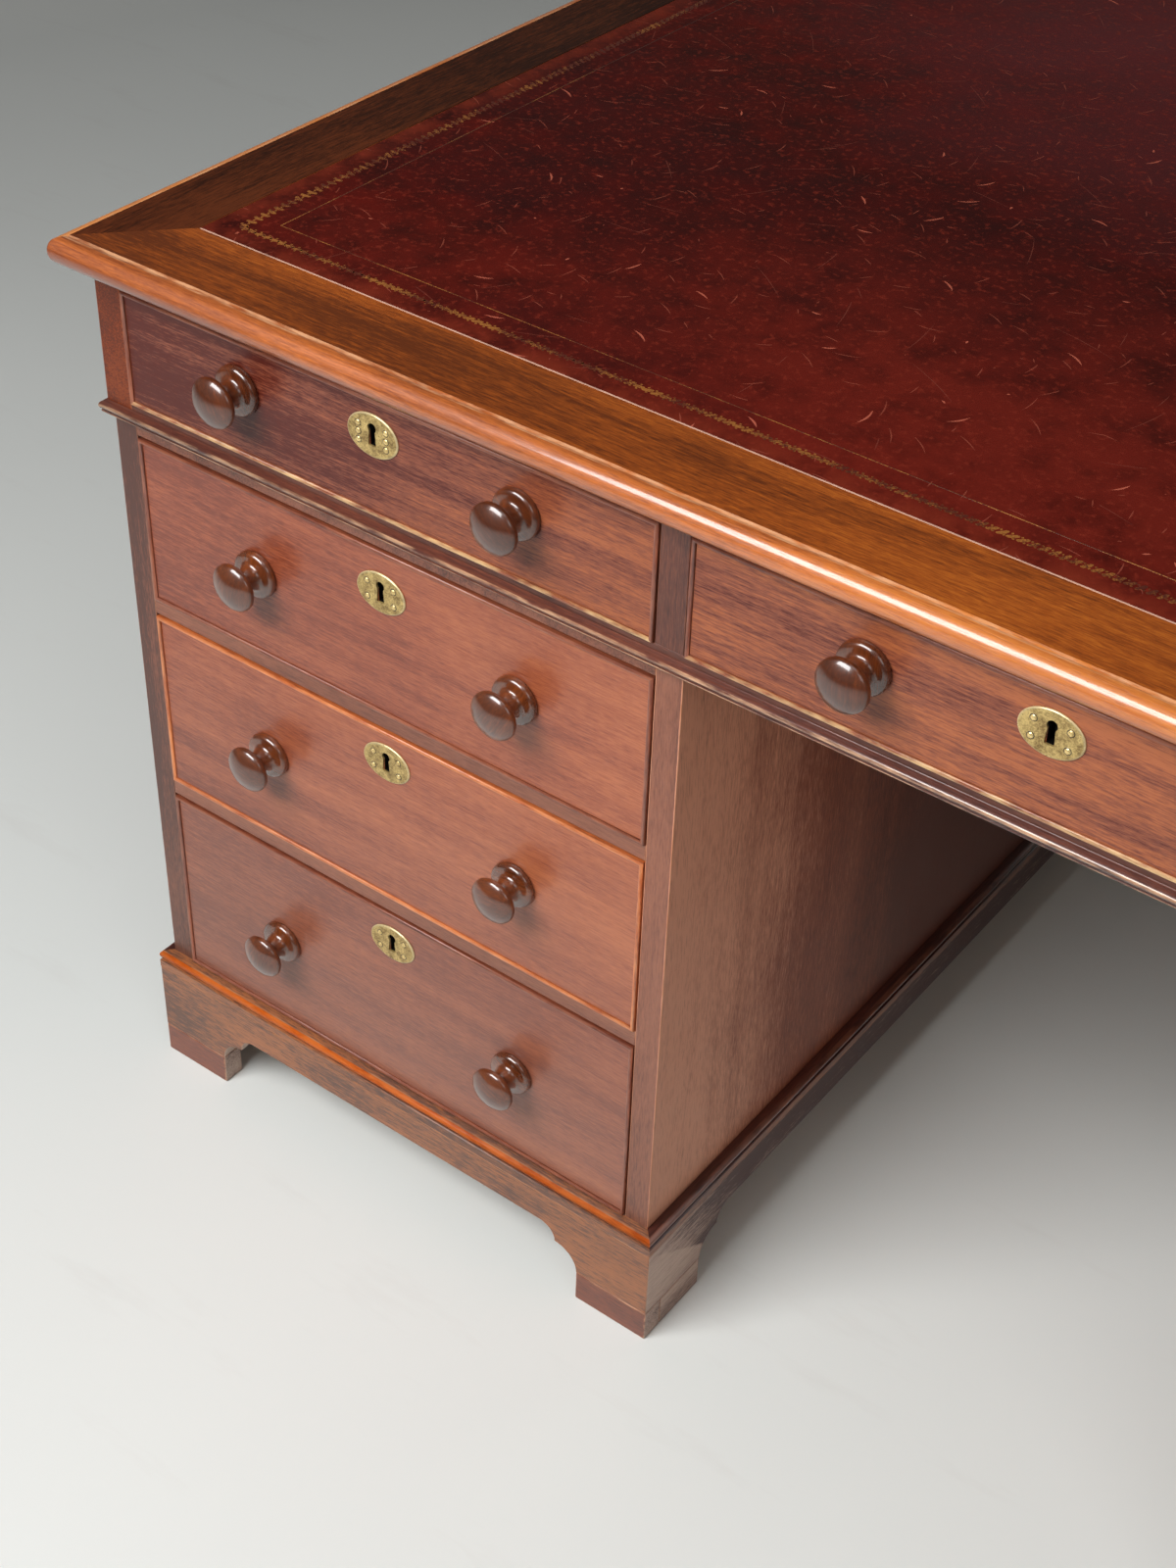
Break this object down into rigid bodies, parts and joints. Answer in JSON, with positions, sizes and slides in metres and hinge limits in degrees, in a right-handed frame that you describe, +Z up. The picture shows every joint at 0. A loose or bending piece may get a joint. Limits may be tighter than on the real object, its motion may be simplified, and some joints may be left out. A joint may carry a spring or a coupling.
{
  "type": "partners desk",
  "caption": "Pedestal partners desk with a leather writing top, drawers on both sides, turned knobs, oval lock plates and a cupboard behind each pedestal.",
  "frame": {"origin": "on the floor, under the middle of the desk", "axes": "+X along the length to the right of someone who faces the drawer side, +Y to the cupboard side, +Z up"},
  "size_m": [1.536, 1.106, 0.773],
  "materials": {
    "leather": "worn, polished",
    "top_mahogany": "french polished",
    "case_mahogany": "waxed",
    "drawer_mahogany": "waxed",
    "moulding_mahogany": "french polished",
    "knob_mahogany": "gloss polished",
    "carcass_oak": "bare",
    "brass": "aged"
  },
  "bodies": {
    "case": {"top_core_panel": "carcass_oak", "writing_leather": "leather", "top_border_boards": "top_mahogany", "frieze_end_panels": "case_mahogany", "frieze_rails": "case_mahogany", "frieze_partitions": "case_mahogany", "waist_moulding": "moulding_mahogany", "drawer_guides": "carcass_oak", "left_pedestal_sides": "case_mahogany", "left_pedestal_boards": "case_mahogany", "right_pedestal_sides": "case_mahogany", "right_pedestal_boards": "case_mahogany", "pedestal_rails": "case_mahogany", "left_plinth_brackets": "case_mahogany", "left_feet": "case_mahogany", "right_plinth_brackets": "case_mahogany", "right_feet": "case_mahogany", "plinth_mouldings": "moulding_mahogany", "door_hinge_leaves": "brass", "cupboard_shelves_and_stops": "carcass_oak"},
    "frieze_front_left_drawer": {"frieze_front_left_drawer": "drawer_mahogany", "frieze_front_left_drawer_knobs": "knob_mahogany", "frieze_front_left_drawer_lock": "brass"},
    "frieze_front_centre_drawer": {"frieze_front_centre_drawer": "drawer_mahogany", "frieze_front_centre_drawer_knobs": "knob_mahogany", "frieze_front_centre_drawer_lock": "brass"},
    "frieze_front_right_drawer": {"frieze_front_right_drawer": "drawer_mahogany", "frieze_front_right_drawer_knobs": "knob_mahogany", "frieze_front_right_drawer_lock": "brass"},
    "frieze_rear_left_drawer": {"frieze_rear_left_drawer": "drawer_mahogany", "frieze_rear_left_drawer_knobs": "knob_mahogany", "frieze_rear_left_drawer_lock": "brass"},
    "frieze_rear_centre_drawer": {"frieze_rear_centre_drawer": "drawer_mahogany", "frieze_rear_centre_drawer_knobs": "knob_mahogany", "frieze_rear_centre_drawer_lock": "brass"},
    "frieze_rear_right_drawer": {"frieze_rear_right_drawer": "drawer_mahogany", "frieze_rear_right_drawer_knobs": "knob_mahogany", "frieze_rear_right_drawer_lock": "brass"},
    "left_upper_drawer": {"left_upper_drawer": "drawer_mahogany", "left_upper_drawer_knobs": "knob_mahogany", "left_upper_drawer_lock": "brass"},
    "left_middle_drawer": {"left_middle_drawer": "drawer_mahogany", "left_middle_drawer_knobs": "knob_mahogany", "left_middle_drawer_lock": "brass"},
    "left_lower_drawer": {"left_lower_drawer": "drawer_mahogany", "left_lower_drawer_knobs": "knob_mahogany", "left_lower_drawer_lock": "brass"},
    "right_upper_drawer": {"right_upper_drawer": "drawer_mahogany", "right_upper_drawer_knobs": "knob_mahogany", "right_upper_drawer_lock": "brass"},
    "right_middle_drawer": {"right_middle_drawer": "drawer_mahogany", "right_middle_drawer_knobs": "knob_mahogany", "right_middle_drawer_lock": "brass"},
    "right_lower_drawer": {"right_lower_drawer": "drawer_mahogany", "right_lower_drawer_knobs": "knob_mahogany", "right_lower_drawer_lock": "brass"},
    "left_door": {"left_door": "case_mahogany", "left_door_fittings": "brass"},
    "right_door": {"right_door": "case_mahogany", "right_door_fittings": "brass"}
  },
  "joints": [
    {"name": "frieze_front_left_drawer_slide", "type": "slide", "parent": "case", "child": "frieze_front_left_drawer", "axis": [0, -1, 0], "range_m": [0, 0.36]},
    {"name": "frieze_front_centre_drawer_slide", "type": "slide", "parent": "case", "child": "frieze_front_centre_drawer", "axis": [0, -1, 0], "range_m": [0, 0.36]},
    {"name": "frieze_front_right_drawer_slide", "type": "slide", "parent": "case", "child": "frieze_front_right_drawer", "axis": [0, -1, 0], "range_m": [0, 0.36]},
    {"name": "frieze_rear_left_drawer_slide", "type": "slide", "parent": "case", "child": "frieze_rear_left_drawer", "axis": [0, 1, 0], "range_m": [0, 0.36]},
    {"name": "frieze_rear_centre_drawer_slide", "type": "slide", "parent": "case", "child": "frieze_rear_centre_drawer", "axis": [0, 1, 0], "range_m": [0, 0.36]},
    {"name": "frieze_rear_right_drawer_slide", "type": "slide", "parent": "case", "child": "frieze_rear_right_drawer", "axis": [0, 1, 0], "range_m": [0, 0.36]},
    {"name": "left_upper_drawer_slide", "type": "slide", "parent": "case", "child": "left_upper_drawer", "axis": [0, -1, 0], "range_m": [0, 0.36]},
    {"name": "left_middle_drawer_slide", "type": "slide", "parent": "case", "child": "left_middle_drawer", "axis": [0, -1, 0], "range_m": [0, 0.36]},
    {"name": "left_lower_drawer_slide", "type": "slide", "parent": "case", "child": "left_lower_drawer", "axis": [0, -1, 0], "range_m": [0, 0.36]},
    {"name": "right_upper_drawer_slide", "type": "slide", "parent": "case", "child": "right_upper_drawer", "axis": [0, -1, 0], "range_m": [0, 0.36]},
    {"name": "right_middle_drawer_slide", "type": "slide", "parent": "case", "child": "right_middle_drawer", "axis": [0, -1, 0], "range_m": [0, 0.36]},
    {"name": "right_lower_drawer_slide", "type": "slide", "parent": "case", "child": "right_lower_drawer", "axis": [0, -1, 0], "range_m": [0, 0.36]},
    {"name": "left_door_hinge", "type": "hinge", "parent": "case", "child": "left_door", "pos_m": [-0.7215, 0.5212, 0.116], "axis": [0, 0, 1], "range_deg": [0, 160]},
    {"name": "right_door_hinge", "type": "hinge", "parent": "case", "child": "right_door", "pos_m": [0.7215, 0.5212, 0.116], "axis": [0, 0, -1], "range_deg": [0, 160]}
  ]
}
